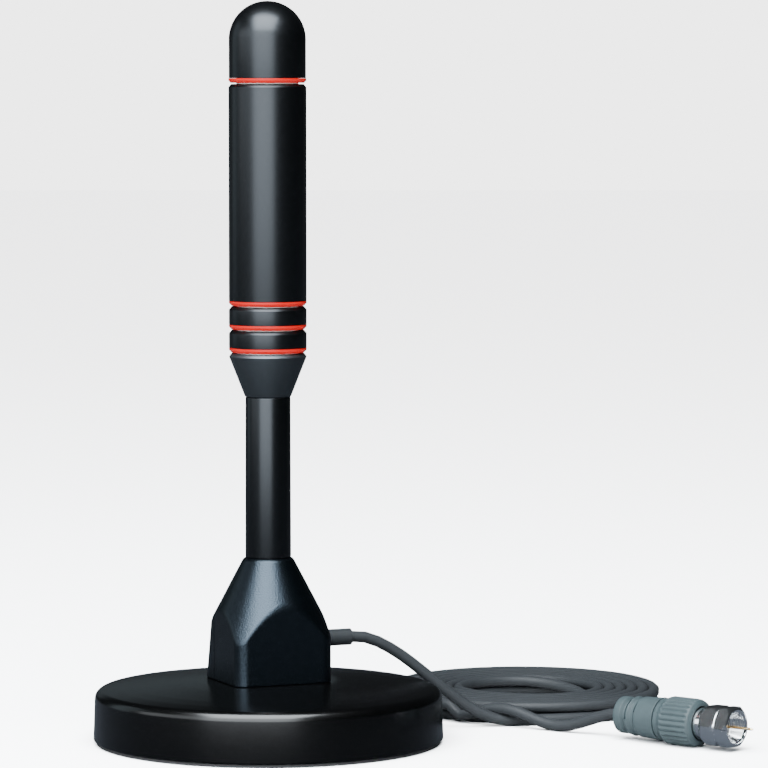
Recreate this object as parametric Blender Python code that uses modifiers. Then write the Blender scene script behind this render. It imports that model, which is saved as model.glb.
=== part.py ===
"""Indoor television antenna: a fat black mast with orange trim rings on a pedestal and a magnetic round base.

Its coaxial lead leaves the pedestal's right side, lies in a round coil behind the base and ends in an F plug.
Metres, +Z up. The origin is the middle of the base's underside, the mast's axis is Z, and +Y is the back.
"""

import math

import bmesh
import bpy
from mathutils import Vector
from mathutils.geometry import interpolate_bezier

GAP = 0.0003  # between pieces that touch

# Base
BASE_RADIUS = 0.0500
BASE_TOP = 0.0178  # the flat seat under the pedestal
BASE_SEAT_RADIUS = 0.0200
BASE_WALL = 0.0020
BASE_DOME = ((0.0260, 0.0174), (0.0320, 0.0169), (0.0380, 0.0164), (0.0430, 0.0159))
BASE_DRAFT = 0.0004
RIM_ROUND = 0.0027
RIM_TOP = 0.0154
RIB_RADII = (0.0205, 0.0225)  # the rib that centres the magnet's plate
RIB_LOW = 0.0131
PAD_RADIUS = 0.0492
PAD_THICKNESS = 0.0009
MAGNET_RADII = (0.0170, 0.0320)
MAGNET_HEIGHTS = (0.0013, 0.0110)
PLATE_RADII = (0.0180, 0.0400)
PLATE_THICKNESS = 0.0015

# Pedestal, in a frame turned about the mast's axis
PEDESTAL_YAW = math.radians(23.0)
PEDESTAL_LOW = BASE_TOP + GAP
PEDESTAL_HIGH = 0.0530
BLOCK_SIDE = 0.0147
BLOCK_FRONT = 0.0139
BLOCK_BACK = 0.0137  # at the foot; the back face leans forward from there up to its bend
BACK_BEND_HEIGHT = 0.0350
BACK_BEND = 0.0100
BLOCK_CORNER = 0.0034
BLOCK_WALL = 0.0021
CONE_SLOPE = 0.525
NECK_RADIUS = 0.0070
WEB_LOW = 0.0470  # underside of the solid web that carries the mast
SEAM_Y = 0.0050  # the pedestal's body ends here and its rear cover starts
SCREW_X = 0.0100
SCREW_FRONT = 0.0092
SCREW_BACK = 0.0086
SCREW_RADIUS = 0.0012
SCREW_HEAD_RADIUS = 0.0025
SCREW_TOP = 0.0230
BOSS_RADIUS = 0.0028
BOSS_TOP = 0.0240

# Cable and its sleeve
CORD_RADIUS = 0.00165
SLEEVE_HEIGHT = 0.0282
SLEEVE_RADIUS = 0.00242
SLEEVE_BORE = CORD_RADIUS + GAP
SLEEVE_FLANGE_RADIUS = 0.0036
SLEEVE_START = 0.0104
SLEEVE_END = 0.0274

# Mast
ROD_RADII = (0.00640, 0.00653)  # at the top and at the foot
ROD_BORE = 0.0055
ROD_LOW = PEDESTAL_HIGH + GAP
ROD_HIGH = 0.0988
TUBE_RADIUS = 0.01105
GROOVE_RADIUS = 0.0104
CORE_RADIUS = 0.0088
CORE_BORE = 0.0074
CORE_HEIGHTS = (0.1083, 0.1930)
SLIDE_BORE = CORE_RADIUS + GAP
CONE_LOW = 0.0991
SPIGOT_LOW = 0.0913
CABLE_BORE = 0.0030
RING_HEIGHT = 0.0013
RING_LIP = 0.0006
RING_TOPS = (0.11285, 0.11945, 0.12615, 0.18915)
CHAMFER = 0.0009
CAP_RADIUS = 0.01093
MAST_TOP = 0.2110
DOME_LOW = 0.2005
CAP_WALL = 0.0017
STUD_RADII = (0.0027, 0.0042)
STUD_HEIGHTS = (0.0400, 0.0625)
INSERT_HIGH = 0.0635
NUT_FLAT = 0.0055  # half of the distance across the lock nut's flats
NUT_HEIGHT = 0.0030
WASHER_HEIGHT = 0.0007

# Matching board and radiator, inside the core tube
BOARD_LOW = 0.1097
BOARD_LENGTH = 0.0260
RADIATOR_RADII = (0.0034, 0.0040)
RADIATOR_HEIGHTS = (0.1372, 0.1975)

# Coil of the lead, lying on the floor
COIL_CENTRE = (0.0750, 0.0705)
COIL_RADII = (0.0177, 0.0413)
COIL_HEIGHT = 0.0067

# Route of the lead from the sleeve to the coil, then from the coil to the plug
LEAD_ROUTE = (
    (0.0235, 0.0154, 0.0282),
    (0.0274, 0.0170, 0.0278),
    (0.0311, 0.0184, 0.0264),
    (0.0346, 0.0197, 0.0244),
    (0.0380, 0.0208, 0.0221),
    (0.0412, 0.0218, 0.0196),
    (0.0443, 0.0227, 0.0170),
    (0.0474, 0.0236, 0.0143),
    (0.0506, 0.0244, 0.0116),
    (0.0538, 0.0253, 0.0090),
    (0.0571, 0.0261, 0.0066),
    (0.0606, 0.0269, 0.0044),
    (0.0644, 0.0278, 0.0027),
)
TAIL_ROUTE = (
    (0.0687, 0.0276, 0.0053),
    (0.0718, 0.0257, 0.0046),
    (0.0748, 0.0239, 0.0037),
    (0.0777, 0.0221, 0.0027),
    (0.0807, 0.0203, 0.0019),
    (0.0838, 0.0184, 0.0017),
    (0.0868, 0.0164, 0.0021),
    (0.0897, 0.0145, 0.0031),
    (0.0925, 0.0126, 0.0043),
    (0.0952, 0.0106, 0.0055),
    (0.0980, 0.0084, 0.0065),
    (0.1008, 0.0062, 0.0069),
)
ROUTE_SPACING = 0.0035

# F plug, along its own axis from the end of its boot towards the pin's tip
PLUG_PLACE = (0.1010, 0.0060, 0.00695)
PLUG_HEADING = math.radians(-40.0)
BOOT_FRONT = 0.0153
GRIP_REAR = BOOT_FRONT + GAP
GRIP_FRONT = 0.0286
GRIP_RADIUS = 0.0069
HEX_REAR = 0.0311
HEX_FRONT = 0.0409
HEX_FLAT = 0.0055
COLLAR_RADIUS = 0.00465
COLLAR_REAR = 0.0257
THREAD_BORE = 0.0045
THREAD_REAR = 0.0330
FERRULE_RADIUS = 0.0036
FERRULE_BORE = 0.0021
PIN_RADIUS = 0.0004
PIN_TIP = 0.0463

# Segments round a turned piece
STEPS_BASE = 48
STEPS_MAST = 32
STEPS_SMALL = 20

FINISHES = {
    "black_gloss": ((0.010, 0.011, 0.012), 0.28, 0.0),
    "black_painted": ((0.012, 0.014, 0.016), 0.32, 0.0),
    "black_grained": ((0.012, 0.013, 0.015), 0.48, 0.0),
    "black_rubber": ((0.015, 0.016, 0.017), 0.80, 0.0),
    "orange_ring": ((0.80, 0.070, 0.027), 0.38, 0.0),
    "grey_jacket": ((0.098, 0.112, 0.119), 0.55, 0.0),
    "grey_plug": ((0.085, 0.118, 0.130), 0.50, 0.0),
    "chrome": ((0.80, 0.81, 0.82), 0.16, 1.0),
    "steel": ((0.42, 0.43, 0.44), 0.38, 1.0),
    "brass": ((0.72, 0.50, 0.20), 0.30, 1.0),
    "ferrite": ((0.045, 0.043, 0.042), 0.75, 0.0),
    "board_green": ((0.020, 0.150, 0.055), 0.45, 0.0),
    "white_plastic": ((0.75, 0.74, 0.70), 0.45, 0.0),
}


def clear_scene():
    for item in list(bpy.data.objects):
        bpy.data.objects.remove(item, do_unlink=True)


def new_collection(name):
    collection = bpy.data.collections.new(name)
    bpy.context.scene.collection.children.link(collection)
    return collection


clear_scene()
PARTS = new_collection("indoor_antenna")
CUTTERS = new_collection("cutters")


def finish(name):
    """The Principled material of that name, made when it is first asked for."""
    if name in bpy.data.materials:
        return bpy.data.materials[name]
    colour, roughness, metallic = FINISHES[name]
    material = bpy.data.materials.new(name)
    material.use_nodes = True
    shader = material.node_tree.nodes["Principled BSDF"]
    shader.inputs["Base Color"].default_value = (*colour, 1.0)
    shader.inputs["Roughness"].default_value = roughness
    shader.inputs["Metallic"].default_value = metallic
    material.diffuse_color = (*colour, 1.0)
    return material


def empty(name, location, rotation):
    """A frame that pieces are placed in."""
    item = bpy.data.objects.new(name, None)
    item.location = location
    item.rotation_euler = rotation
    PARTS.objects.link(item)
    return item


def place(name, data, look, frame=None, location=(0, 0, 0), rotation=(0, 0, 0)):
    """An object of that data: a part with its finish, or a cutter where look is None."""
    item = bpy.data.objects.new(name, data)
    item.location = location
    item.rotation_euler = rotation
    item.parent = frame
    if look is None:
        CUTTERS.objects.link(item)
        item.hide_render = True
        item.display_type = "WIRE"
    else:
        PARTS.objects.link(item)
        data.materials.append(finish(look))
    return item


def turned(name, outline, look, steps=STEPS_MAST, **where):
    """Turns (radius, height) points, which run down the outer side, about Z. An outline off the axis is closed."""
    points = [(radius, 0.0, height) for radius, height in outline]
    edges = [(index, index + 1) for index in range(len(points) - 1)]
    if outline[0][0] > 0.0:
        edges.append((len(points) - 1, 0))
    mesh = bpy.data.meshes.new(name)
    mesh.from_pydata(points, edges, [])
    item = place(name, mesh, look, **where)
    screw = item.modifiers.new("Turn", "SCREW")
    screw.axis = "Z"
    screw.steps = steps
    screw.render_steps = steps
    screw.use_smooth_shade = True
    screw.use_merge_vertices = True
    screw.merge_threshold = 0.00001
    return item


def ring(name, radii, heights, look, steps=STEPS_MAST, **where):
    """A plain ring or sleeve."""
    inner, outer = radii
    low, high = heights
    outline = [(outer, high), (outer, low), (inner, low), (inner, high)]
    return turned(name, outline, look, steps, **where)


def rod(name, radius, heights, look, steps=STEPS_SMALL, **where):
    """A plain round bar along Z."""
    low, high = heights
    outline = [(0.0, high), (radius, high), (radius, low), (0.0, low)]
    return turned(name, outline, look, steps, **where)


def arc(centre, radius, start, end, count):
    """Points of an arc in the outline's plane, from one angle in degrees to another."""
    angles = [math.radians(start + (end - start) * step / count) for step in range(count + 1)]
    return [(centre[0] + radius * math.cos(a), centre[1] + radius * math.sin(a)) for a in angles]


def block(name, levels, corner, look, segments=4, **where):
    """An upright block of stacked rectangles, its upright edges rounded; a level is (height, side, front, back)."""
    shape = bmesh.new()
    loops = []
    for height, side, front, back in levels:
        corners = ((-side, -front), (side, -front), (side, back), (-side, back))
        loops.append([shape.verts.new((x, y, height)) for x, y in corners])
    shape.faces.new(reversed(loops[0]))
    shape.faces.new(loops[-1])
    upright = []
    for lower, upper in zip(loops, loops[1:]):
        for index in range(4):
            after = (index + 1) % 4
            shape.faces.new((lower[index], lower[after], upper[after], upper[index]))
            upright.append(shape.edges.get((lower[index], upper[index])))
    bmesh.ops.bevel(shape, geom=upright, offset=corner, segments=segments, profile=0.5, affect="EDGES")
    mesh = bpy.data.meshes.new(name)
    shape.to_mesh(mesh)
    shape.free()
    return place(name, mesh, look, **where)


def slab(name, size, look, edge=0.0, **where):
    """A rectangular piece about its own middle, with its edges eased where edge is given."""
    shape = bmesh.new()
    bmesh.ops.create_cube(shape, size=1.0)
    bmesh.ops.scale(shape, vec=size, verts=shape.verts)
    if edge:
        bmesh.ops.bevel(shape, geom=shape.edges[:], offset=edge, segments=2, profile=0.5, affect="EDGES")
    mesh = bpy.data.meshes.new(name)
    shape.to_mesh(mesh)
    shape.free()
    return place(name, mesh, look, **where)


def hexagon(name, flat, heights, look, **where):
    """A hexagonal bar along Z; flat is half of the distance across its flats."""
    shape = bmesh.new()
    radius = flat / math.cos(math.pi / 6)
    low, high = heights
    bmesh.ops.create_cone(
        shape, cap_ends=True, segments=6, radius1=radius, radius2=radius, depth=high - low
    )
    bmesh.ops.translate(shape, vec=(0.0, 0.0, (low + high) / 2), verts=shape.verts)
    mesh = bpy.data.meshes.new(name)
    shape.to_mesh(mesh)
    shape.free()
    return place(name, mesh, look, **where)


def combine(item, operation, other):
    modifier = item.modifiers.new(other.name, "BOOLEAN")
    modifier.operation = operation
    modifier.object = other


def smooth_route(points, spacing):
    """Points along a curve that runs smoothly through the given ones, about the spacing apart."""
    knots = [Vector(point) for point in points]
    before = 2 * knots[0] - knots[1]
    after = 2 * knots[-1] - knots[-2]
    chain = [before, *knots, after]
    route = []
    for last, start, end, following in zip(chain, chain[1:], chain[2:], chain[3:]):
        count = max(1, round((end - start).length / spacing))
        leave = start + (end - last) / 6
        arrive = end - (following - start) / 6
        route += interpolate_bezier(start, leave, arrive, end, count + 1)[:-1]
    return route + [knots[-1]]


def tube(name, points, look, **where):
    """A round cord along a smooth curve through the points."""
    route = smooth_route(points, ROUTE_SPACING)
    curve = bpy.data.curves.new(name, "CURVE")
    curve.dimensions = "3D"
    curve.bevel_depth = CORD_RADIUS
    curve.bevel_resolution = 2
    curve.use_fill_caps = True
    spline = curve.splines.new("POLY")
    spline.points.add(len(route) - 1)
    for point, position in zip(spline.points, route):
        point.co = (*position, 1.0)
    return place(name, curve, look, **where)


PEDESTAL = empty("pedestal_frame", (0, 0, 0), (0, 0, PEDESTAL_YAW))
PLUG = empty("plug_frame", PLUG_PLACE, (0, math.pi / 2, PLUG_HEADING))
SCREW_PLACES = [(x, y, 0.0) for y in (-SCREW_FRONT, SCREW_BACK) for x in (-SCREW_X, SCREW_X)]


def make_base():
    rim = arc((BASE_RADIUS - BASE_DRAFT - RIM_ROUND, RIM_TOP - RIM_ROUND), RIM_ROUND, 84, 0, 4)
    low = PAD_THICKNESS + GAP
    outside = [(0.0, BASE_TOP), (BASE_SEAT_RADIUS, BASE_TOP), *BASE_DOME, *rim, (BASE_RADIUS, low)]
    wall = BASE_RADIUS - BASE_WALL
    inside = [(wall, low), (wall - BASE_DRAFT, RIM_TOP - RIM_ROUND)]
    inside += [(radius, height - BASE_WALL) for radius, height in reversed(BASE_DOME)]
    inner, outer = RIB_RADII
    rib = [(outer, BASE_DOME[0][1] - BASE_WALL), (outer, RIB_LOW), (inner, RIB_LOW), (inner, BASE_TOP - BASE_WALL)]
    ceiling = [(BASE_SEAT_RADIUS - BASE_WALL, BASE_TOP - BASE_WALL), (0.0, BASE_TOP - BASE_WALL)]
    cover = turned("base_cover", outside + inside + rib + ceiling, "black_gloss", STEPS_BASE)
    for number, position in enumerate(SCREW_PLACES, 1):
        hole = rod(
            f"cover_hole_{number}", SCREW_RADIUS + GAP, (0.012, 0.020), None, 12,
            frame=PEDESTAL, location=position,
        )
        combine(cover, "DIFFERENCE", hole)
    rod("base_pad", PAD_RADIUS, (0.0, PAD_THICKNESS), "black_rubber", STEPS_BASE)
    ring("ring_magnet", MAGNET_RADII, MAGNET_HEIGHTS, "ferrite", STEPS_MAST)
    plate_low = MAGNET_HEIGHTS[1] + GAP
    ring("magnet_plate", PLATE_RADII, (plate_low, plate_low + PLATE_THICKNESS), "steel", STEPS_MAST)


def cone_envelope(name, inset, top):
    """The cone that tops the pedestal, drawn in by inset across its wall and cut flat at the top."""
    sideways = inset / math.cos(math.atan(CONE_SLOPE))
    low = 0.0170
    top_radius = NECK_RADIUS + (PEDESTAL_HIGH - top) * CONE_SLOPE - sideways
    low_radius = NECK_RADIUS + (PEDESTAL_HIGH - low) * CONE_SLOPE - sideways
    outline = [(0.0, top), (top_radius, top), (low_radius, low), (0.0, low)]
    return turned(name, outline, None, STEPS_BASE)


def block_levels(inset, foot):
    """The pedestal's block as levels, drawn in by inset, from its foot up to above the neck."""
    side = BLOCK_SIDE - inset
    front = BLOCK_FRONT - inset
    bend = BACK_BEND - inset
    return (
        (foot, side, front, BLOCK_BACK - inset),
        (BACK_BEND_HEIGHT, side, front, bend),
        (PEDESTAL_HIGH + 0.001, side, front, bend),
    )


def pedestal_half(name, front):
    """The pedestal's body, in front of the seam, or its rear cover."""
    levels = block_levels(0.0, PEDESTAL_LOW)
    shell = block(name, levels, BLOCK_CORNER, "black_grained", frame=PEDESTAL)
    combine(shell, "INTERSECT", bpy.data.objects["pedestal_cone"])
    combine(shell, "DIFFERENCE", bpy.data.objects["pedestal_cavity"])
    depth = 0.0500
    side = 1.0 if front else -1.0
    middle = SEAM_Y + side * (depth - GAP) / 2
    other_side = slab(
        f"{name}_other_side", (0.060, depth, 0.080), None, frame=PEDESTAL, location=(0, middle, 0.035)
    )
    combine(shell, "DIFFERENCE", other_side)
    for number, position in enumerate(SCREW_PLACES, 1):
        if (position[1] < 0.0) == front:
            boss_heights = (PEDESTAL_LOW + GAP, BOSS_TOP)
            boss = rod(f"boss_{number}", BOSS_RADIUS, boss_heights, None, 16, frame=PEDESTAL, location=position)
            pilot = rod(
                f"pilot_{number}", SCREW_RADIUS + GAP, (0.0165, BOSS_TOP + 0.001), None, 12,
                frame=PEDESTAL, location=position,
            )
            combine(shell, "UNION", boss)
            combine(shell, "DIFFERENCE", pilot)
    combine(shell, "DIFFERENCE", bpy.data.objects["sleeve_hole"])
    if front:
        combine(shell, "DIFFERENCE", bpy.data.objects["stud_hole"])


def make_pedestal():
    cone_envelope("pedestal_cone", 0.0, PEDESTAL_HIGH)
    inner_cone = cone_envelope("pedestal_inner_cone", BLOCK_WALL, WEB_LOW)
    levels = block_levels(BLOCK_WALL, PEDESTAL_LOW - 0.001)
    cavity = block("pedestal_cavity", levels, BLOCK_CORNER - BLOCK_WALL, None, segments=2, frame=PEDESTAL)
    combine(cavity, "INTERSECT", inner_cone)
    along_x = (0, math.pi / 2, 0)
    sleeve_line = (0.0, SEAM_Y, SLEEVE_HEIGHT)
    rod(
        "sleeve_hole", SLEEVE_RADIUS + GAP, (0.0090, 0.0200), None,
        frame=PEDESTAL, location=sleeve_line, rotation=along_x,
    )
    rod("stud_hole", STUD_RADII[1] + GAP, (0.0400, 0.0550), None)
    pedestal_half("pedestal_body", True)
    pedestal_half("pedestal_rear_cover", False)

    tip = SLEEVE_END - GAP
    sleeve = [(SLEEVE_BORE, SLEEVE_END), (SLEEVE_RADIUS - 0.0002, SLEEVE_END), (SLEEVE_RADIUS, tip)]
    sleeve += [(SLEEVE_RADIUS, SLEEVE_START + 0.0012), (SLEEVE_FLANGE_RADIUS, SLEEVE_START + 0.0012)]
    sleeve += [(SLEEVE_FLANGE_RADIUS, SLEEVE_START), (SLEEVE_BORE, SLEEVE_START)]
    turned(
        "cable_sleeve", sleeve, "grey_jacket", STEPS_SMALL,
        frame=PEDESTAL, location=sleeve_line, rotation=along_x,
    )
    head_top = BASE_TOP - BASE_WALL - GAP
    screw = [(0.0, SCREW_TOP), (SCREW_RADIUS * 0.6, SCREW_TOP), (SCREW_RADIUS, SCREW_TOP - 0.001)]
    screw += [(SCREW_RADIUS, head_top), (SCREW_HEAD_RADIUS, head_top)]
    screw += [(SCREW_HEAD_RADIUS, head_top - 0.0013), (SCREW_RADIUS, head_top - 0.0021), (0.0, head_top - 0.0021)]
    for number, position in enumerate(SCREW_PLACES, 1):
        turned(f"pedestal_screw_{number}", screw, "steel", 12, frame=PEDESTAL, location=position)


def make_mast_fixing():
    ring("mast_stud", STUD_RADII, STUD_HEIGHTS, "brass", STEPS_SMALL)
    thread = STUD_RADII[1] + GAP
    washer_high = WEB_LOW - GAP
    washer_low = washer_high - WASHER_HEIGHT
    ring("lock_washer", (thread, 0.0064), (washer_low, washer_high), "steel", STEPS_SMALL)
    nut_high = washer_low - GAP
    nut = hexagon("lock_nut", NUT_FLAT, (nut_high - NUT_HEIGHT, nut_high), "steel")
    combine(nut, "DIFFERENCE", rod("nut_bore", thread, (nut_high - 2 * NUT_HEIGHT, washer_high), None))
    ring("tube_insert", (thread, ROD_BORE - GAP), (ROD_LOW + GAP, INSERT_HIGH), "brass", STEPS_SMALL)


def groove_top(height):
    """The upper end of a black piece: flat, then a chamfer that forms the lower side of a ring's groove."""
    return [(SLIDE_BORE, height), (GROOVE_RADIUS - 0.0001, height), (TUBE_RADIUS, height - CHAMFER)]


def make_mast():
    top_radius, foot_radius = ROD_RADII
    lower = [(top_radius, ROD_HIGH), (foot_radius, ROD_LOW), (ROD_BORE, ROD_LOW), (ROD_BORE, ROD_HIGH)]
    turned("lower_tube", lower, "black_painted")
    spigot = ROD_BORE - GAP
    socket = CORE_HEIGHTS[0] - GAP
    cone = groove_top(RING_TOPS[0] - RING_HEIGHT - GAP)
    cone += [(foot_radius, CONE_LOW), (spigot, CONE_LOW), (spigot, SPIGOT_LOW), (CABLE_BORE, SPIGOT_LOW)]
    cone += [(CABLE_BORE, socket), (SLIDE_BORE, socket)]
    turned("transition_cone", cone, "black_gloss")
    ring("core_tube", (CORE_BORE, CORE_RADIUS), CORE_HEIGHTS, "white_plastic", STEPS_SMALL)
    names = ("spacer_band_lower", "spacer_band_upper", "upper_tube")
    for name, below, above in zip(names, RING_TOPS, RING_TOPS[1:]):
        high = above - RING_HEIGHT - GAP
        low = below + GAP
        turned(name, groove_top(high) + [(TUBE_RADIUS, low), (SLIDE_BORE, low)], "black_gloss")
    for number, high in enumerate(RING_TOPS, 1):
        low = high - RING_HEIGHT
        outline = [(TUBE_RADIUS, high), (TUBE_RADIUS, high - RING_LIP), (GROOVE_RADIUS, low)]
        outline += [(SLIDE_BORE, low), (SLIDE_BORE, high)]
        turned(f"trim_ring_{number}", outline, "orange_ring")


def make_cap():
    rise = MAST_TOP - DOME_LOW
    radius = (CAP_RADIUS**2 + rise**2) / (2 * rise)
    middle = (0.0, MAST_TOP - radius)
    edge = math.degrees(math.asin((DOME_LOW - middle[1]) / radius))
    low = RING_TOPS[-1] + GAP
    dome = arc(middle, radius, 90, edge, 8)
    hollow = radius - CAP_WALL
    inner_edge = math.degrees(math.acos(SLIDE_BORE / hollow))
    inner_dome = arc(middle, hollow, inner_edge, 90, 5)
    outline = [(0.0, MAST_TOP), *dome[1:], (CAP_RADIUS, low), (SLIDE_BORE, low)]
    outline += [*inner_dome[:-1], (0.0, middle[1] + hollow)]
    turned("end_cap", outline, "black_gloss")


def make_electrics():
    cable = [(x, SEAM_Y, SLEEVE_HEIGHT) for x in (SLEEVE_END - GAP, 0.0205, 0.0140)]
    cable += [(0.0095, 0.00495, 0.0284), (0.0060, 0.0044, 0.0295), (0.0032, 0.0033, 0.0318)]
    cable += [(0.0013, 0.0019, 0.0350), (0.00035, 0.0007, 0.0388), (0.0, 0.0001, 0.0434)]
    cable += [(0.0, 0.0, height) for height in (0.0495, 0.0600, 0.0720, 0.0840, 0.0960, BOARD_LOW - GAP)]
    tube("feed_cable", cable, "grey_jacket", frame=PEDESTAL)
    board_middle = BOARD_LOW + BOARD_LENGTH / 2
    slab("matching_board", (0.0110, 0.0010, BOARD_LENGTH), "board_green", location=(0, 0, board_middle))
    balun = (0.0, -0.0026, BOARD_LOW + 0.0094)
    core = slab("balun_core", (0.0064, 0.0036, 0.0050), "ferrite", edge=0.0005, location=balun)
    for side, x in (("left", -0.0014), ("right", 0.0014)):
        heights = (balun[2] - 0.006, balun[2] + 0.006)
        hole = rod(f"balun_hole_{side}", 0.0008, heights, None, 12, location=(x, balun[1], 0))
        combine(core, "DIFFERENCE", hole)
    slab(
        "coupling_capacitor", (0.0032, 0.0012, 0.0018), "white_plastic", edge=0.0002,
        location=(0, -0.0014, BOARD_LOW + 0.0194),
    )
    ring("radiator_tube", RADIATOR_RADII, RADIATOR_HEIGHTS, "brass", STEPS_SMALL)
    for name, low in (("element_disc_lower", 0.1440), ("element_disc_upper", 0.1885)):
        ring(name, (RADIATOR_RADII[1] + GAP, CORE_BORE - GAP), (low, low + 0.0030), "white_plastic", STEPS_SMALL)


def make_cord():
    tube("cord_lead", LEAD_ROUTE, "grey_jacket")
    inner, outer = COIL_RADII
    ease = 0.0008
    outline = [(outer - ease, COIL_HEIGHT), (outer, COIL_HEIGHT - ease), (outer, ease), (outer - ease, 0.0)]
    outline += [(inner + ease, 0.0), (inner, ease), (inner, COIL_HEIGHT - ease), (inner + ease, COIL_HEIGHT)]
    turned("cord_coil", outline, "grey_jacket", STEPS_BASE, location=(*COIL_CENTRE, 0.0))
    tube("cord_tail", TAIL_ROUTE, "grey_jacket")


def make_coupling_nut():
    """The hexagonal nut with its waist and chamfers, its round collar, and the bore that turns on the ferrule."""
    nut = hexagon("coupling_nut", HEX_FLAT, (HEX_REAR, HEX_FRONT), "chrome", frame=PLUG)
    corner = HEX_FLAT / math.cos(math.pi / 6)
    waist = 0.0365
    shape = [(0.0, HEX_FRONT + GAP), (HEX_FLAT - 0.0002, HEX_FRONT + GAP), (corner, HEX_FRONT - 0.0006)]
    shape += [(corner, waist + 0.0006), (corner - 0.0006, waist), (corner - 0.0002, waist - 0.0006)]
    shape += [(HEX_FLAT, HEX_REAR + 0.0006), (COLLAR_RADIUS + 0.0003, HEX_REAR - GAP), (0.0, HEX_REAR - GAP)]
    envelope = turned("nut_envelope", shape, None, STEPS_MAST, frame=PLUG)
    collar = rod("nut_collar", COLLAR_RADIUS, (COLLAR_REAR, HEX_REAR + 0.0010), None, frame=PLUG)
    bore = [(0.0, HEX_FRONT + 0.001), (THREAD_BORE, HEX_FRONT + 0.001), (THREAD_BORE, THREAD_REAR)]
    bore += [(FERRULE_RADIUS + GAP, THREAD_REAR), (FERRULE_RADIUS + GAP, COLLAR_REAR - 0.001)]
    bore += [(0.0, COLLAR_REAR - 0.001)]
    hollow = turned("nut_hollow", bore, None, STEPS_SMALL, frame=PLUG)
    combine(nut, "INTERSECT", envelope)
    combine(nut, "UNION", collar)
    combine(nut, "DIFFERENCE", hollow)


def make_plug():
    cavity = FERRULE_RADIUS + 0.0004
    cord_hole = CORD_RADIUS + GAP
    boot = [(cavity, BOOT_FRONT), (0.00625, BOOT_FRONT), (0.00583, 0.0088), (0.00505, 0.0079)]
    boot += [(0.00505, 0.0069), (0.0057, 0.0063), (0.0057, 0.0053), (0.0044, 0.0046), (0.0044, 0.0040)]
    boot += [(0.0053, 0.0033), (0.0053, 0.0012), (0.0049, 0.0004), (0.0032, 0.0), (cord_hole, 0.0)]
    boot += [(cord_hole, 0.0080), (cavity, 0.0080)]
    turned("plug_boot", boot, "grey_plug", STEPS_SMALL, frame=PLUG)

    counterbore = COLLAR_RADIUS + GAP
    grip = [(counterbore, GRIP_FRONT), (0.0056, GRIP_FRONT), (0.0065, 0.0280), (GRIP_RADIUS, 0.0270)]
    grip += [(GRIP_RADIUS, 0.0186), (0.0066, 0.0179), (0.0061, 0.0172), (0.0061, GRIP_REAR)]
    grip += [(cavity, GRIP_REAR), (cavity, COLLAR_REAR - GAP), (counterbore, COLLAR_REAR - GAP)]
    turned("nut_grip", grip, "grey_plug", STEPS_MAST, frame=PLUG)
    make_coupling_nut()

    flange = THREAD_REAR + GAP
    ferrule = [(FERRULE_BORE, flange + 0.0011), (THREAD_BORE - GAP, flange + 0.0011), (THREAD_BORE - GAP, flange)]
    ferrule += [(FERRULE_RADIUS, flange), (FERRULE_RADIUS, 0.0083), (FERRULE_BORE, 0.0083)]
    turned("plug_ferrule", ferrule, "chrome", STEPS_SMALL, frame=PLUG)
    ring(
        "plug_insulator", (PIN_RADIUS + GAP, FERRULE_BORE - GAP), (0.0200, 0.0342), "white_plastic", 12,
        frame=PLUG,
    )
    pin = [(0.0, PIN_TIP), (PIN_RADIUS * 0.5, PIN_TIP), (PIN_RADIUS, PIN_TIP - 0.0005)]
    pin += [(PIN_RADIUS, 0.0120), (0.0, 0.0120)]
    turned("centre_pin", pin, "brass", 12, frame=PLUG)


make_base()
make_pedestal()
make_mast_fixing()
make_mast()
make_cap()
make_electrics()
make_cord()
make_plug()
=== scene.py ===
"""Looks of the indoor television antenna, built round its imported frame.

Metres, +Z up along the mast, camera on the -Y side.
"""

import math

import bmesh
import bpy
from mathutils import Matrix, Vector
from mathutils.geometry import interpolate_bezier


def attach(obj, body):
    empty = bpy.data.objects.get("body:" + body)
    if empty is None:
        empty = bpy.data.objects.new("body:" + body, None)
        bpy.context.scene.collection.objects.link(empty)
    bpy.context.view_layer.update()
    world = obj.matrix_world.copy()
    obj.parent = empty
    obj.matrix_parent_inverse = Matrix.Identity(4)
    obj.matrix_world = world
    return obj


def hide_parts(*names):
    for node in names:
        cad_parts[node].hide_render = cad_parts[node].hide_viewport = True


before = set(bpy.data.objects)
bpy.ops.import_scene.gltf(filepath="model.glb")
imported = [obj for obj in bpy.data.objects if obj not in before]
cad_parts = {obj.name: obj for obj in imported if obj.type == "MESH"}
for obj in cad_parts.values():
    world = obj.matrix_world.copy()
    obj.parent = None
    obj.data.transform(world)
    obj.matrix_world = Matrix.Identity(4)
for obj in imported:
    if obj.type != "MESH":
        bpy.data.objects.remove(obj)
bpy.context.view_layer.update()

GAP = 0.0003  # between pieces that touch
SEAT = 0.00003  # between pieces that are pressed together

# Camera
CAMERA_PLACE = (0.0330, -1.240, 0.190)
CAMERA_PITCH = math.radians(90.0 - 4.04)
CAMERA_SENSOR = 36.0
CAMERA_LENS = 204.9

# Base
BASE_RADIUS = 0.0500
BASE_TOP = 0.0178
BASE_SEAT_RADIUS = 0.0200
BASE_WALL = 0.0020
BASE_DOME = ((0.0260, 0.0174), (0.0320, 0.0169), (0.0380, 0.0164), (0.0430, 0.0159))
BASE_DRAFT = 0.0004
RIM_CENTRE = (0.0469, 0.0127)
RIM_ROUND = 0.0027
RIM_TOP = 0.0154
RIB_RADII = (0.0205, 0.0225)
RIB_LOW = 0.0131
SCREW_HOLE = (0.0120, 0.0200)
PAD_RADIUS = 0.0492
PAD_THICKNESS = 0.0009

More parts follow.
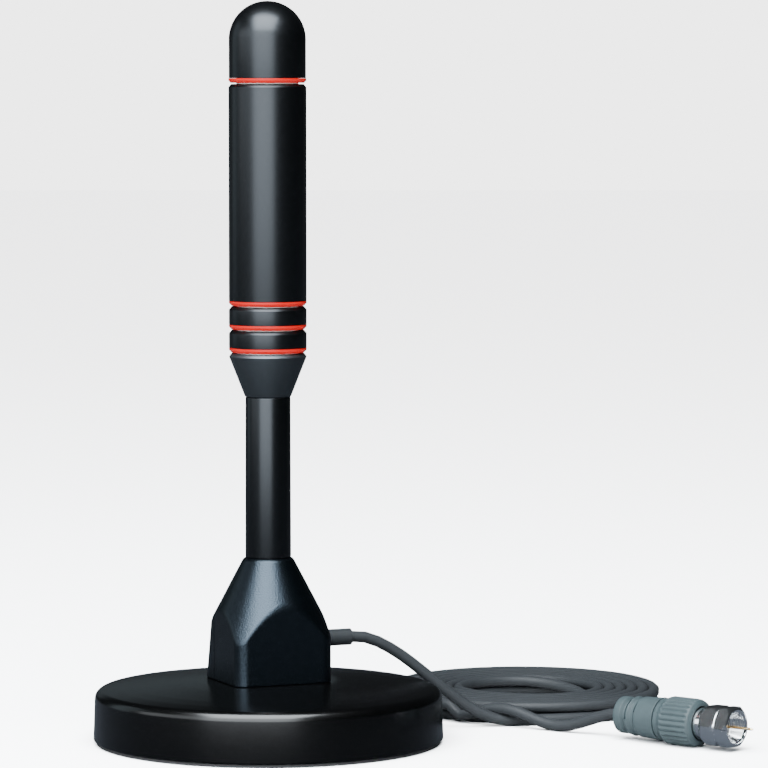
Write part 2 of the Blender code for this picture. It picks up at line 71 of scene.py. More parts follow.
# Pedestal, in a frame turned about the mast's axis
PEDESTAL_YAW = math.radians(23.0)
PEDESTAL_LOW = BASE_TOP + SEAT
PEDESTAL_HIGH = 0.0530
BLOCK_SIDE = 0.0147
BLOCK_FRONT = 0.0139
BLOCK_BACK = 0.0137
BACK_BEND_HEIGHT = 0.0350
BACK_BEND = 0.0100
BLOCK_CORNER = 0.0034
BLOCK_WALL = 0.0021
CONE_SLOPE = 0.525
NECK_RADIUS = 0.0070
NECK_ROUND = (0.0007, 0.0009)  # width and height of the neck's rounded edge
FOOT_BEVEL = 0.0003
WEB_LOW = 0.0470
SEAM_Y = 0.0050
SCREW_PLACES = ((-0.0100, -0.0092), (0.0100, -0.0092), (-0.0100, 0.0086), (0.0100, 0.0086))
SCREW_RADIUS = 0.0012
BOSS_RADIUS = 0.0028
BOSS_TOP = 0.0240
SLEEVE_HEIGHT = 0.0282
SLEEVE_RADIUS = 0.00242
SLEEVE_START = 0.0104
SLEEVE_END = 0.0274
SLEEVE_FLANGE = (0.0036, 0.0012)  # radius and thickness, inside the pedestal

# Mast
ROD_RADII = (0.00640, 0.00653)
ROD_BORE = 0.0055
ROD_LOW = PEDESTAL_HIGH + SEAT
ROD_HIGH = 0.0988
TUBE_RADIUS = 0.01105
GROOVE_RADIUS = 0.0104
SLIDE_BORE = 0.0091
CONE_LOW = ROD_HIGH + SEAT
SPIGOT_LOW = 0.0913
CABLE_BORE = 0.0030
SOCKET_LOW = 0.1080
RING_HEIGHT = 0.0013
RING_LIP = 0.0006
RING_TOPS = (0.11285, 0.11945, 0.12615, 0.18915)
CHAMFER = 0.0009
CAP_RADIUS = 0.01093
MAST_TOP = 0.2110
DOME_LOW = 0.2005
CAP_WALL = 0.0017
STUD_RADIUS = 0.0042

# Lead: the straight of the sleeve, the stretch to the coil, the coil, and the stretch to the plug
CORD_RADIUS = 0.00165
LEAD_ROUTE = (
    (0.0235, 0.0154, 0.0282),
    (0.0274, 0.0170, 0.0278),
    (0.0311, 0.0184, 0.0264),
    (0.0346, 0.0197, 0.0244),
    (0.0380, 0.0208, 0.0221),
    (0.0412, 0.0218, 0.0196),
    (0.0443, 0.0227, 0.0170),
    (0.0474, 0.0236, 0.0143),
    (0.0506, 0.0244, 0.0116),
    (0.0538, 0.0253, 0.0090),
    (0.0571, 0.0261, 0.0066),
    (0.0606, 0.0269, 0.0044),
    (0.0644, 0.0278, 0.0027),
    (0.0690, 0.0288, 0.0018),
    (0.0737, 0.0298, 0.00165),
    (0.0785, 0.0308, 0.00165),
)
TAIL_ROUTE = (
    (0.0555, 0.0359, 0.0021),
    (0.0588, 0.0338, 0.0031),
    (0.0621, 0.0317, 0.0043),
    (0.0654, 0.0296, 0.0052),
    (0.0687, 0.0276, 0.0053),
    (0.0718, 0.0257, 0.0047),
    (0.0748, 0.0239, 0.0037),
    (0.0777, 0.0221, 0.0027),
    (0.0807, 0.0203, 0.0019),
    (0.0838, 0.0184, 0.0017),
    (0.0868, 0.0164, 0.0021),
    (0.0897, 0.0145, 0.0031),
    (0.0925, 0.0126, 0.0043),
    (0.0952, 0.0106, 0.0055),
    (0.0980, 0.0084, 0.0065),
    (0.1008, 0.0062, 0.0069),
)
COIL_CENTRE = (0.0750, 0.0705)
COIL_OUTER_TURN = 0.03955
COIL_PITCH = 0.00336
COIL_TURNS = 7
COIL_LAYERS = (0.00165, 0.0050)
COIL_ENTRY = math.radians(-78.0)  # where the stretch from the pedestal joins the lower layer
COIL_LEAVING = math.radians(-125.0)  # where the upper layer runs off towards the plug
COIL_JOG = math.radians(100.0)  # where each turn of the lower layer shifts inwards
COIL_JOG_WIDTH = math.radians(90.0)
COIL_CLIMB_WIDTH = math.radians(120.0)  # the climb to the upper layer ends at the jog
COIL_SETTLING = math.radians(250.0)  # from the last jog to where the outer turn comes down to the floor
COIL_SETTLE_WIDTH = math.radians(45.0)
LEAD_START = 0.0272  # just inside the sleeve
TAIL_INSIDE = (0.0028, 0.0075)  # along the plug, in its boot

# F plug, along its own axis from the end of its boot towards the pin's tip
PLUG_PLACE = (0.1010, 0.0060, 0.00695)
PLUG_HEADING = math.radians(-40.0)
BOOT_FRONT = 0.0153
GRIP_REAR = BOOT_FRONT + GAP
GRIP_FRONT = 0.0286
GRIP_RADIUS = 0.0069
RIB_COUNT = 26
RIB_DEPTH = 0.00042
HEX_REAR = 0.0311
HEX_WAIST = 0.0365
HEX_FRONT = 0.0409
HEX_FLAT = 0.0055
COLLAR_RADIUS = 0.00465
COLLAR_REAR = 0.0257
THREAD_BORE = 0.0045
THREAD_REAR = 0.0330
THREAD_PITCH = 0.00079
THREAD_DEPTH = 0.00035
FERRULE_RADIUS = 0.0036
FERRULE_BORE = 0.0021
PLUG_CAVITY = FERRULE_RADIUS + 0.0004
PIN_RADIUS = 0.0004
PIN_TIP = 0.0463

BOOT_SLOTS = (  # lowest, highest, and the angles between which each one is cut, on both sides
    (0.0049, 0.0061, math.radians(-30.0), math.radians(95.0)),
    (0.0079, 0.0088, math.radians(-10.0), math.radians(70.0)),
)

STEPS = 192  # round a turned piece
SEAM_GAP = 0.00035
ARRIS = 0.0006  # width over which the pedestal's cone rounds into its faces
LYING = Matrix.Rotation(math.pi / 2, 4, "Y")  # turns a piece's own +Z to +X
PLUG_FRAME = Matrix.Translation(PLUG_PLACE) @ Matrix.Rotation(PLUG_HEADING, 4, "Z") @ LYING
PEDESTAL_FRAME = Matrix.Rotation(PEDESTAL_YAW, 4, "Z")
SLEEVE_FRAME = PEDESTAL_FRAME @ Matrix.Translation((0, SEAM_Y, SLEEVE_HEIGHT)) @ LYING


# ---------------------------------------------------------------- shapes

def smoothstep(value):
    value = min(1.0, max(0.0, value))
    return value * value * (3.0 - 2.0 * value)


def rounded(outline, count=5):
    """The outline with each (radius, height, round) corner turned into an arc of that radius."""
    flat = [Vector(point[:2]) for point in outline]
    result = []
    for index, point in enumerate(outline):
        here = flat[index]
        size = point[2] if len(point) > 2 else 0.0
        if size == 0.0:
            result.append(tuple(here))
            continue
        before = flat[index - 1] - here
        after = flat[(index + 1) % len(flat)] - here
        to_before, to_after = before.normalized(), after.normalized()
        half = to_before.angle(to_after) / 2
        reach = min(size / math.tan(half), before.length * 0.49, after.length * 0.49)
        radius = reach * math.tan(half)
        middle = here + (to_before + to_after).normalized() * (radius / math.sin(half))
        start = here + to_before * reach - middle
        end = here + to_after * reach - middle
        sweep = start.angle_signed(end)
        for step in range(count + 1):
            turn = -sweep * step / count
            offset = Vector((
                start.x * math.cos(turn) - start.y * math.sin(turn),
                start.x * math.sin(turn) + start.y * math.cos(turn),
            ))
            result.append(tuple(middle + offset))
    return result


def grid_faces(rows, steps, closed):
    """Quads of a grid of rings; the last row joins the first where closed."""
    faces = []
    for row in range(rows if closed else rows - 1):
        below, above = row * steps, ((row + 1) % rows) * steps
        for step in range(steps):
            following = (step + 1) % steps
            faces.append((below + step, below + following, above + following, above + step))
    return faces


def set_outward(shape):
    bmesh.ops.recalc_face_normals(shape, faces=shape.faces)


def shaded(mesh, sharp=30.0):
    """Smooth shading that keeps the edges that turn by more than the sharp angle, in degrees."""
    mesh.shade_smooth()
    mesh.set_sharp_from_angle(angle=math.radians(sharp))
    return mesh


def mesh_of(name, points, faces, place=None, sharp=30.0):
    mesh = bpy.data.meshes.new(name)
    mesh.from_pydata(points, [], faces)
    shape = bmesh.new()
    shape.from_mesh(mesh)
    bmesh.ops.remove_doubles(shape, verts=shape.verts, dist=1e-8)
    set_outward(shape)
    shape.to_mesh(mesh)
    shape.free()
    if place is not None:
        mesh.transform(place)
    return shaded(mesh, sharp)


def turned(name, outline, place=None, steps=STEPS, sharp=30.0):
    """Turns a closed outline of (radius, height) about Z; if it starts on the axis, it also ends there."""
    outline = rounded(outline)
    solid = outline[0][0] < 1e-9
    rings = outline[1:-1] if solid else outline
    points = []
    for radius, height in rings:
        for step in range(steps):
            angle = math.tau * step / steps
            points.append((radius * math.cos(angle), radius * math.sin(angle), height))
    faces = grid_faces(len(rings), steps, not solid)
    if solid:
        for row, (_, height) in ((0, outline[0]), (len(rings) - 1, outline[-1])):
            points.append((0.0, 0.0, height))
            pole = len(points) - 1
            faces += [(row * steps + step, row * steps + (step + 1) % steps, pole) for step in range(steps)]
    return mesh_of(name, points, faces, place, sharp)


def swept(name, heights, radius_at, steps, place=None, sharp=30.0):
    """A closed solid about Z whose radius is a function of the angle and the height."""
    points = []
    for height in heights:
        for step in range(steps):
            angle = math.tau * step / steps
            radius = radius_at(angle, height)
            points.append((radius * math.cos(angle), radius * math.sin(angle), height))
    faces = grid_faces(len(heights), steps, False)
    faces.append(tuple(range(steps)))
    faces.append(tuple(range((len(heights) - 1) * steps, len(heights) * steps)))
    return mesh_of(name, points, faces, place, sharp)


def combined(first, operation, second):
    """The exact union, difference or intersection of two meshes, both used up."""
    items = []
    for mesh in (first, second):
        item = bpy.data.objects.new(mesh.name, mesh)
        bpy.context.scene.collection.objects.link(item)
        items.append(item)
    modifier = items[0].modifiers.new("join", "BOOLEAN")
    modifier.operation = operation
    modifier.object = items[1]
    modifier.solver = "EXACT"
    graph = bpy.context.evaluated_depsgraph_get()
    result = bpy.data.meshes.new_from_object(items[0].evaluated_get(graph))
    name = first.name
    for item in items:
        bpy.data.objects.remove(item, do_unlink=True)
    for mesh in (first, second):
        bpy.data.meshes.remove(mesh)
    result.name = name
    return result


def bar(name, radius, low, high, place=None, steps=48):
    return turned(name, [(0.0, low), (radius, low), (radius, high), (0.0, high)], place, steps)


def levels(low, high, count):
    return [low + (high - low) * step / count for step in range(count + 1)]


def block_radius(angle, side, front, back, corner):
    """Distance from the axis to a rounded rectangle's outline at that angle."""
    x, y = math.cos(angle), math.sin(angle)
    depth = back if y > 0.0 else front
    reach = min(side / max(abs(x), 1e-9), depth / max(abs(y), 1e-9))
    across, along = side - corner, depth - corner
    if abs(x) * reach > across and abs(y) * reach > along:
        dot = across * abs(x) + along * abs(y)
        reach = dot + math.sqrt(dot * dot - across * across - along * along + corner * corner)
    return reach


def softened_minimum(first, second, width):
    """The smaller of two lengths, with the change from one to the other eased over the width."""
    share = max(0.0, min(1.0, 0.5 + 0.5 * (second - first) / width))
    return second + (first - second) * share - width * share * (1.0 - share)


# ---------------------------------------------------------------- finishes

def look(
    name, colour, roughness, metallic=0.0, mottle=0.12, size=0.004, grain=0.0, grain_size=0.0004, shine=0.5,
    glint=(1.0, 1.0, 1.0),
):
    """A material whose colour, roughness and surface vary through noise; grain is its texture's height."""
    material = bpy.data.materials.new(f"look_{name}")
    material.use_nodes = True
    nodes, links = material.node_tree.nodes, material.node_tree.links
    shader = nodes["Principled BSDF"]
    shader.inputs["Metallic"].default_value = metallic
    shader.inputs["Specular IOR Level"].default_value = shine
    shader.inputs["Specular Tint"].default_value = (*glint, 1.0)
    place = nodes.new("ShaderNodeTexCoord")

    broad = nodes.new("ShaderNodeTexNoise")
    broad.inputs["Scale"].default_value = 1.0 / size
    broad.inputs["Detail"].default_value = 4.0
    fine = nodes.new("ShaderNodeTexNoise")
    fine.inputs["Scale"].default_value = 1.0 / grain_size
    fine.inputs["Detail"].default_value = 2.0
    for noise in (broad, fine):
        links.new(place.outputs["Object"], noise.inputs["Vector"])

    tones = nodes.new("ShaderNodeValToRGB")
    tones.color_ramp.elements[0].position = 0.30
    tones.color_ramp.elements[0].color = (*(part * (1.0 - mottle) for part in colour), 1.0)
    tones.color_ramp.elements[1].position = 0.70
    tones.color_ramp.elements[1].color = (*(part * (1.0 + mottle) for part in colour), 1.0)
    links.new(broad.outputs["Fac"], tones.inputs["Fac"])
    links.new(tones.outputs["Color"], shader.inputs["Base Color"])

    wear = nodes.new("ShaderNodeMapRange")
    wear.inputs["From Min"].default_value = 0.30
    wear.inputs["From Max"].default_value = 0.70
    wear.inputs["To Min"].default_value = roughness * 0.96
    wear.inputs["To Max"].default_value = roughness * 1.04
    links.new(fine.outputs["Fac"], wear.inputs["Value"])
    links.new(wear.outputs["Result"], shader.inputs["Roughness"])

    bump = nodes.new("ShaderNodeBump")
    bump.inputs["Strength"].default_value = 1.0
    bump.inputs["Distance"].default_value = grain
    links.new(fine.outputs["Fac"], bump.inputs["Height"])
    links.new(bump.outputs["Normal"], shader.inputs["Normal"])
    return material


LOOKS = {
    "black_gloss": look(
        "black_gloss", (0.0002, 0.00022, 0.00025), 0.33, grain=4e-7, grain_size=0.0012, shine=0.3,
        glint=(0.86, 0.92, 1.0),
    ),
    "black_base": look(
        "black_base", (0.0002, 0.00022, 0.00025), 0.23, grain=4e-7, grain_size=0.0015, shine=0.3,
    ),
    "black_painted": look(
        "black_painted", (0.0002, 0.00022, 0.00025), 0.30, grain=5e-7, grain_size=0.0010, shine=0.3,
        glint=(0.86, 0.92, 1.0),
    ),
    "black_cone": look(
        "black_cone", (0.0002, 0.00025, 0.0003), 0.47, grain=4e-7, grain_size=0.0012, shine=0.85,
        glint=(0.80, 0.90, 1.0),
    ),
    "black_grained": look(
        "black_grained", (0.0001, 0.0002, 0.0003), 0.29, grain=9e-5, grain_size=0.0004, shine=0.3,
        glint=(0.62, 0.80, 1.0),
    ),
    "black_rubber": look("black_rubber", (0.006, 0.006, 0.007), 0.85, grain=6e-5, grain_size=0.0005),
    "orange_ring": look("orange_ring", (0.14, 0.0008, 0.0001), 0.36, mottle=0.05, grain=1e-6, shine=0.1),
    "grey_jacket": look("grey_jacket", (0.0085, 0.0096, 0.0107), 0.52, mottle=0.06, grain=4e-6, shine=0.12),
    "grey_plug": look("grey_plug", (0.0150, 0.0215, 0.0235), 0.50, mottle=0.06, grain=4e-6, shine=0.15),
    "chrome": look("chrome", (0.86, 0.87, 0.88), 0.16, 1.0, mottle=0.04, grain=4e-7, grain_size=0.0008),
    "gilt": look("gilt", (0.70, 0.52, 0.30), 0.25, 1.0, mottle=0.08, grain=1e-6),
    "steel": look("steel", (0.42, 0.43, 0.44), 0.36, 1.0, grain=2e-6),
    "brass": look("brass", (0.66, 0.46, 0.18), 0.30, 1.0, grain=2e-6),
    "ferrite": look("ferrite", (0.030, 0.029, 0.028), 0.75, mottle=0.25, grain=2e-5),
    "board_green": look("board_green", (0.015, 0.120, 0.045), 0.42, grain=2e-6),
    "white_plastic": look("white_plastic", (0.72, 0.71, 0.67), 0.42, mottle=0.04, grain=2e-6),
}
NODE_LOOKS = {
    "ring_magnet": "ferrite",
    "magnet_plate": "steel",
    "pedestal_screw_1": "steel",
    "pedestal_screw_2": "steel",
    "pedestal_screw_3": "steel",
    "pedestal_screw_4": "steel",
    "mast_stud": "brass",
    "lock_washer": "steel",
    "lock_nut": "steel",
    "tube_insert": "brass",
    "core_tube": "white_plastic",
    "feed_cable": "grey_jacket",
    "matching_board": "board_green",
    "balun_core": "ferrite",
    "coupling_capacitor": "white_plastic",
    "radiator_tube": "brass",
    "element_disc_lower": "white_plastic",
    "element_disc_upper": "white_plastic",
}
for node_name, look_name in NODE_LOOKS.items():
    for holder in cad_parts[node_name].material_slots:
        holder.material = LOOKS[look_name]


def piece(name, data, slot, body="antenna", replaced=(), own_look=None):
    """A shown piece that rides on a body and has the look of its material slot, or one of its own."""
    item = bpy.data.objects.new(name, data)
    bpy.context.scene.collection.objects.link(item)
    data.materials.clear()
    data.materials.append(LOOKS[own_look or slot])
    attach(item, body)
    if replaced:
        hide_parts(*replaced)
    return item


# ---------------------------------------------------------------- lead

def through(points, spacing):
    """Points along a curve that runs smoothly through the given ones."""
    knots = [Vector(point) for point in points]
    chain = [2 * knots[0] - knots[1], *knots, 2 * knots[-1] - knots[-2]]
    route = []
    for last, start, end, following in zip(chain, chain[1:], chain[2:], chain[3:]):
        count = max(1, round((end - start).length / spacing))
        leave = start + (end - last) / 6
        arrive = end - (following - start) / 6
        route += interpolate_bezier(start, leave, arrive, end, count + 1)[:-1]
    return route + [knots[-1]]


def coil_points(steps=40):
    """The coil: round and round inwards in the lower layer, up, and outwards again in the upper one."""
    inner = COIL_TURNS - 1

    def shifts(first, here):
        return sum(smoothstep((here - first - math.tau * turn) / COIL_JOG_WIDTH) for turn in range(inner))

    lower_jog = COIL_JOG - COIL_JOG_WIDTH / 2
    upper_jog = lower_jog + math.pi + math.tau * inner
    climb = COIL_JOG + math.tau * inner - COIL_CLIMB_WIDTH
    settling = upper_jog + math.tau * inner + COIL_SETTLING
    end = COIL_ENTRY + math.tau * 2 * inner + (COIL_LEAVING - COIL_ENTRY) % math.tau
    count = round((end - COIL_ENTRY) * steps / math.tau)
    points = []
    for step in range(count + 1):
        here = COIL_ENTRY + (end - COIL_ENTRY) * step / count
        turn = shifts(lower_jog, here) - shifts(upper_jog, here)
        raised = smoothstep((here - climb) / COIL_CLIMB_WIDTH)
        raised -= smoothstep((here - settling) / COIL_SETTLE_WIDTH)
        radius = COIL_OUTER_TURN - COIL_PITCH * turn
        points.append(Vector((
            COIL_CENTRE[0] + radius * math.cos(here),
            COIL_CENTRE[1] + radius * math.sin(here),
            COIL_LAYERS[0] + (COIL_LAYERS[1] - COIL_LAYERS[0]) * raised,
        )))
    return points


def make_lead():
    coil = coil_points()
    route = [PEDESTAL_FRAME @ Vector((LEAD_START, SEAM_Y, SLEEVE_HEIGHT))]
    route += through([*LEAD_ROUTE, tuple(coil[0])], 0.0030)[:-1]
    route += coil[:-1]
    route += through([tuple(coil[-1]), *TAIL_ROUTE], 0.0030)
    route += [PLUG_FRAME @ Vector((0.0, 0.0, z)) for z in TAIL_INSIDE]
    curve = bpy.data.curves.new("coaxial_lead", "CURVE")
    curve.dimensions = "3D"
    curve.bevel_depth = CORD_RADIUS
    curve.bevel_resolution = 6
    curve.use_fill_caps = True
    spline = curve.splines.new("POLY")
    spline.points.add(len(route) - 1)
    for point, position in zip(spline.points, route):
        point.co = (*position, 1.0)
    spline.use_smooth = True
    return piece("coaxial_lead", curve, "grey_jacket", replaced=("cord_lead", "cord_coil", "cord_tail"))


# ---------------------------------------------------------------- base and pedestal

def make_base():
    wall = BASE_RADIUS - BASE_WALL
    low = PAD_THICKNESS + GAP
    rim_radius, rim_height = RIM_CENTRE
    rim = [
        (rim_radius + RIM_ROUND * math.cos(turn), rim_height + RIM_ROUND * math.sin(turn))
        for turn in (math.radians(angle) for angle in range(84, -1, -6))
    ]
    dome = [(radius, height, 0.04) for radius, height in BASE_DOME]
    outline = [(0.0, BASE_TOP), (BASE_SEAT_RADIUS, BASE_TOP, 0.04), *dome, *rim]
    outline += [(BASE_RADIUS, low, 0.0002), (wall, low, 0.0002), (wall - BASE_DRAFT, rim_height, 0.001)]
    outline += [(radius, height - BASE_WALL) for radius, height in reversed(BASE_DOME)]
    rib_inner, rib_outer = RIB_RADII
    ceiling = BASE_TOP - BASE_WALL
    outline += [(rib_outer, RIM_TOP), (rib_outer, RIB_LOW), (rib_inner, RIB_LOW), (rib_inner, ceiling)]
    outline += [(BASE_SEAT_RADIUS - BASE_WALL, ceiling), (0.0, ceiling)]
    cover = turned("base_shell", outline, steps=288)
    holes = None
    for x, y in SCREW_PLACES:
        place = PEDESTAL_FRAME @ Matrix.Translation((x, y, 0.0))
        hole = bar("hole", SCREW_RADIUS + GAP, *SCREW_HOLE, place, 24)
        holes = hole if holes is None else combined(holes, "UNION", hole)
    cover = shaded(combined(cover, "DIFFERENCE", holes))
    piece("base_shell", cover, "black_gloss", replaced=("base_cover",), own_look="black_base")
    foot = [(0.0, 0.0), (PAD_RADIUS, 0.0, 0.0002)]
    foot += [(PAD_RADIUS, PAD_THICKNESS, 0.0002), (0.0, PAD_THICKNESS)]
    piece("foot_pad", turned("foot_pad", foot), "black_rubber", replaced=("base_pad",))


def pedestal_skin():
    """The pedestal's outside: a block with rounded corners and a leaning back, its top cut by a cone."""
    round_width, round_height = NECK_ROUND
    lip = PEDESTAL_HIGH - round_height

    def radius_at(angle, height):
        back = BACK_BEND + (BLOCK_BACK - BACK_BEND) * smooth_lean(back_lean(height))
        flat = block_radius(angle, BLOCK_SIDE, BLOCK_FRONT, back, BLOCK_CORNER)
        cone = NECK_RADIUS + (PEDESTAL_HIGH - height) * CONE_SLOPE
        radius = softened_minimum(flat, cone, ARRIS)
        if height > lip:
            turn = (height - lip) / (PEDESTAL_HIGH - lip)
            radius -= round_width * (1.0 - math.sqrt(max(0.0, 1.0 - turn * turn)))
        if height < PEDESTAL_LOW + FOOT_BEVEL:
            radius -= PEDESTAL_LOW + FOOT_BEVEL - height
        return radius

    heights = [PEDESTAL_LOW, PEDESTAL_LOW + FOOT_BEVEL / 2, PEDESTAL_LOW + FOOT_BEVEL]
    heights += levels(PEDESTAL_LOW + 2 * FOOT_BEVEL, lip, 116)
    heights += [lip + (PEDESTAL_HIGH - lip) * math.sin(math.radians(a)) for a in range(15, 91, 15)]
    return swept("pedestal_skin", heights, radius_at, 420, PEDESTAL_FRAME)


def back_lean(height):
    """How far the back leans out at a height: 0 where it is upright, 1 at the foot."""
    return min(1.0, max(0.0, (BACK_BEND_HEIGHT - height) / (BACK_BEND_HEIGHT - PEDESTAL_LOW)))


def smooth_lean(share):
    """Eases the bend where the leaning back turns upright."""
    return share * share / (share + 0.02) * 1.02


def block_solid(name, inset, low, high):
    """The block with flat levels, drawn in by inset."""
    corner = max(BLOCK_CORNER - inset, 0.0004)

    def radius_at(angle, height):
        back = BACK_BEND + (BLOCK_BACK - BACK_BEND) * back_lean(height)
        return block_radius(angle, BLOCK_SIDE - inset, BLOCK_FRONT - inset, back - inset, corner)

    return swept(name, [low, PEDESTAL_LOW, BACK_BEND_HEIGHT, high], radius_at, 96, PEDESTAL_FRAME)


def pedestal_hollow():
    """Everything that is cut out of the pedestal: its cavity round the screw bosses, and the holes."""
    sideways = BLOCK_WALL / math.cos(math.atan(CONE_SLOPE))
    low = 0.0170
    top_radius = NECK_RADIUS + (PEDESTAL_HIGH - WEB_LOW) * CONE_SLOPE - sideways
    low_radius = NECK_RADIUS + (PEDESTAL_HIGH - low) * CONE_SLOPE - sideways
    cone = [(0.0, WEB_LOW), (top_radius, WEB_LOW), (low_radius, low), (0.0, low)]
    cavity = block_solid("cavity", BLOCK_WALL, PEDESTAL_LOW - 0.0008, 0.0500)
    hollow = combined(cavity, "INTERSECT", turned("inner_cone", cone, steps=72))
    for x, y in SCREW_PLACES:
        place = PEDESTAL_FRAME @ Matrix.Translation((x, y, 0.0))
        boss = bar("boss", BOSS_RADIUS, PEDESTAL_LOW + GAP, BOSS_TOP, place, 32)
        pilot = bar("pilot", SCREW_RADIUS + GAP, 0.0165, BOSS_TOP + 0.001, place, 24)
        hollow = combined(hollow, "DIFFERENCE", boss)
        hollow = combined(hollow, "UNION", pilot)
    sleeve_hole = bar("sleeve_hole", SLEEVE_RADIUS + 0.0001, 0.0090, 0.0200, SLEEVE_FRAME)
    hollow = combined(hollow, "UNION", sleeve_hole)
    return combined(hollow, "UNION", bar("stud_hole", STUD_RADIUS + GAP, 0.0400, 0.0550))


def make_pedestal():
    hollow = pedestal_hollow()
    skin = pedestal_skin()
    halves = (("pedestal_front", -1.0, "pedestal_body"), ("pedestal_back", 1.0, "pedestal_rear_cover"))
    for name, side, node in halves:
        half = bmesh.new()
        half.from_mesh(skin)
        normal = PEDESTAL_FRAME.to_3x3() @ Vector((0.0, side, 0.0))
        place = PEDESTAL_FRAME @ Vector((0.0, SEAM_Y + side * SEAM_GAP / 2, 0.0))
        bmesh.ops.bisect_plane(
            half, geom=half.verts[:] + half.edges[:] + half.faces[:], dist=1e-7,
            plane_co=place, plane_no=normal, clear_inner=True,
        )
        bmesh.ops.contextual_create(half, geom=[edge for edge in half.edges if edge.is_boundary])
        set_outward(half)
        mesh = bpy.data.meshes.new(name)
        half.to_mesh(mesh)
        half.free()
        mesh = combined(mesh, "DIFFERENCE", hollow.copy())
        piece(name, shaded(mesh, 40.0), "black_grained", replaced=(node,))
    bpy.data.meshes.remove(skin)
    bpy.data.meshes.remove(hollow)
    bore = CORD_RADIUS + GAP
    flange, thickness = SLEEVE_FLANGE
    step = SLEEVE_START + thickness
    sleeve = [(bore, SLEEVE_END, 0.0002), (SLEEVE_RADIUS, SLEEVE_END, 0.0003), (SLEEVE_RADIUS, step)]
    sleeve += [(flange, step, 0.0002), (flange, SLEEVE_START, 0.0002), (bore, SLEEVE_START)]
    sleeve = turned("lead_sleeve", sleeve, SLEEVE_FRAME, 64)
    piece("lead_sleeve", sleeve, "grey_jacket", replaced=("cable_sleeve",))


# ---------------------------------------------------------------- mast

def groove_top(height):
    """The upper end of a black piece: flat, then a chamfer, which is the lower side of a ring's groove."""
    edge = (GROOVE_RADIUS - 0.0001, height, 0.0001)
    return [(SLIDE_BORE, height), edge, (TUBE_RADIUS, height - CHAMFER, 0.0002)]


def make_mast():
    top, foot = ROD_RADII
    rod = [(top, ROD_HIGH, 0.0003), (foot, ROD_LOW, 0.0003), (ROD_BORE, ROD_LOW), (ROD_BORE, ROD_HIGH)]
    piece("mast_rod", turned("mast_rod", rod), "black_painted", replaced=("lower_tube",))
    spigot = ROD_BORE - GAP
    cone = groove_top(RING_TOPS[0] - RING_HEIGHT - GAP)
    cone += [(foot, CONE_LOW, 0.0005), (spigot, CONE_LOW), (spigot, SPIGOT_LOW, 0.0003)]
    cone += [(CABLE_BORE, SPIGOT_LOW), (CABLE_BORE, SOCKET_LOW), (SLIDE_BORE, SOCKET_LOW)]
    cone = turned("mast_cone", cone)
    piece("mast_cone", cone, "black_gloss", replaced=("transition_cone",), own_look="black_cone")
    bands = (
        ("mast_band_lower", "spacer_band_lower"),
        ("mast_band_upper", "spacer_band_upper"),
        ("mast_tube", "upper_tube"),
    )
    for (name, node), below, above in zip(bands, RING_TOPS, RING_TOPS[1:]):
        low = below + SEAT
        band = groove_top(above - RING_HEIGHT - GAP) + [(TUBE_RADIUS, low, 0.0001), (SLIDE_BORE, low)]
        piece(name, turned(name, band), "black_gloss", replaced=(node,))
    for number, high in enumerate(RING_TOPS, 1):
        low = high - RING_HEIGHT
        ring = [(TUBE_RADIUS, high, 0.0001), (TUBE_RADIUS, high - RING_LIP, 0.0001), (GROOVE_RADIUS, low)]
        ring += [(SLIDE_BORE, low), (SLIDE_BORE, high)]
        name = f"orange_ring_{number}"
        piece(name, turned(name, ring), "orange_ring", replaced=(f"trim_ring_{number}",))


def make_cap():
    rise = MAST_TOP - DOME_LOW
    radius = (CAP_RADIUS**2 + rise**2) / (2 * rise)
    middle = MAST_TOP - radius
    edge = math.asin((DOME_LOW - middle) / radius)
    low = RING_TOPS[-1] + SEAT
    hollow = radius - CAP_WALL
    inner_edge = math.acos(SLIDE_BORE / hollow)

    def dome(size, start, end, count):
        angles = levels(start, end, count)
        return [(size * math.cos(a), middle + size * math.sin(a)) for a in angles]

    outline = [(0.0, MAST_TOP), *dome(radius, math.pi / 2, edge, 28)[1:], (CAP_RADIUS, low, 0.0001)]
    outline += [(SLIDE_BORE, low), *dome(hollow, inner_edge, math.pi / 2, 12)[:-1], (0.0, middle + hollow)]
    piece("mast_cap", turned("mast_cap", outline), "black_gloss", replaced=("end_cap",))


# ---------------------------------------------------------------- F plug

def make_boot():
    cord_hole = CORD_RADIUS + 0.0001
    boot = [(PLUG_CAVITY, BOOT_FRONT), (0.00625, BOOT_FRONT, 0.0002), (0.00610, BOOT_FRONT - 0.0006, 0.0002)]
    boot += [(0.00583, 0.0088, 0.0003), (0.00505, 0.0079, 0.0003), (0.00505, 0.0069, 0.0003)]
    boot += [(0.0057, 0.0063, 0.0003), (0.0057, 0.0053, 0.0003), (0.0044, 0.0046, 0.0002)]
    boot += [(0.0044, 0.0040, 0.0002), (0.0053, 0.0033, 0.0003), (0.0053, 0.0010, 0.0007)]
    boot += [(0.0032, 0.0, 0.0006), (cord_hole, 0.0), (cord_hole, 0.0080), (PLUG_CAVITY, 0.0080)]
    mesh = turned("plug_cover", boot, steps=128)
    slots = None
    for low, high, start, end in BOOT_SLOTS:
        for turn in (0.0, math.pi):
            shape = wedge(low, high, 0.0046, 0.0070, start + turn, end + turn)
            slots = shape if slots is None else combined(slots, "UNION", shape)
    mesh = combined(mesh, "DIFFERENCE", slots)
    mesh.transform(PLUG_FRAME)
    return piece("plug_cover", shaded(mesh), "grey_plug", replaced=("plug_boot",))


